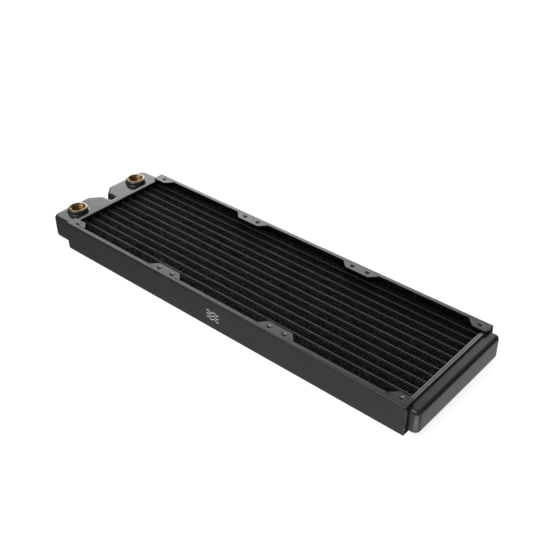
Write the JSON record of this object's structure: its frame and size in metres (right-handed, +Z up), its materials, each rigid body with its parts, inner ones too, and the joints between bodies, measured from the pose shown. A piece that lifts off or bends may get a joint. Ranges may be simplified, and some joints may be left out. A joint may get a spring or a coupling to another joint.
{
  "type": "liquid cooling radiator",
  "caption": "Slim liquid cooling radiator for a row of fans: finned flat-tube core, two end tanks, side channels with threaded fan tabs, and threaded ports on one tank.",
  "frame": {"origin": "middle of the overall outline, in the plane of the bottom flanges that the radiator rests on", "axes": "+X along the radiator, away from the ported tank; +Y across it; +Z up, out of the fan face that the ports stand on"},
  "size_m": [0.3966, 0.118, 0.0281],
  "materials": {
    "housing_paint": "satin",
    "core_paint": "satin",
    "brass": "polished"
  },
  "bodies": {
    "root": {"side_channel_front": "housing_paint", "side_channel_rear": "housing_paint", "ported_header_plate": "housing_paint", "return_header_plate": "housing_paint", "ported_tank_shell": "housing_paint", "return_tank_shell": "housing_paint", "tank_divider": "core_paint", "port_bush_inlet": "brass", "port_bush_outlet": "brass", "flat_tube_01": "core_paint", "flat_tube_02": "core_paint", "flat_tube_03": "core_paint", "flat_tube_04": "core_paint", "flat_tube_05": "core_paint", "flat_tube_06": "core_paint", "flat_tube_07": "core_paint", "flat_tube_08": "core_paint", "flat_tube_09": "core_paint", "flat_tube_10": "core_paint", "flat_tube_11": "core_paint", "flat_tube_12": "core_paint", "fin_strip_01": "core_paint", "fin_strip_02": "core_paint", "fin_strip_03": "core_paint", "fin_strip_04": "core_paint", "fin_strip_05": "core_paint", "fin_strip_06": "core_paint", "fin_strip_07": "core_paint", "fin_strip_08": "core_paint", "fin_strip_09": "core_paint", "fin_strip_10": "core_paint", "fin_strip_11": "core_paint", "fin_strip_12": "core_paint", "fin_strip_13": "core_paint"}
  },
  "joints": []
}
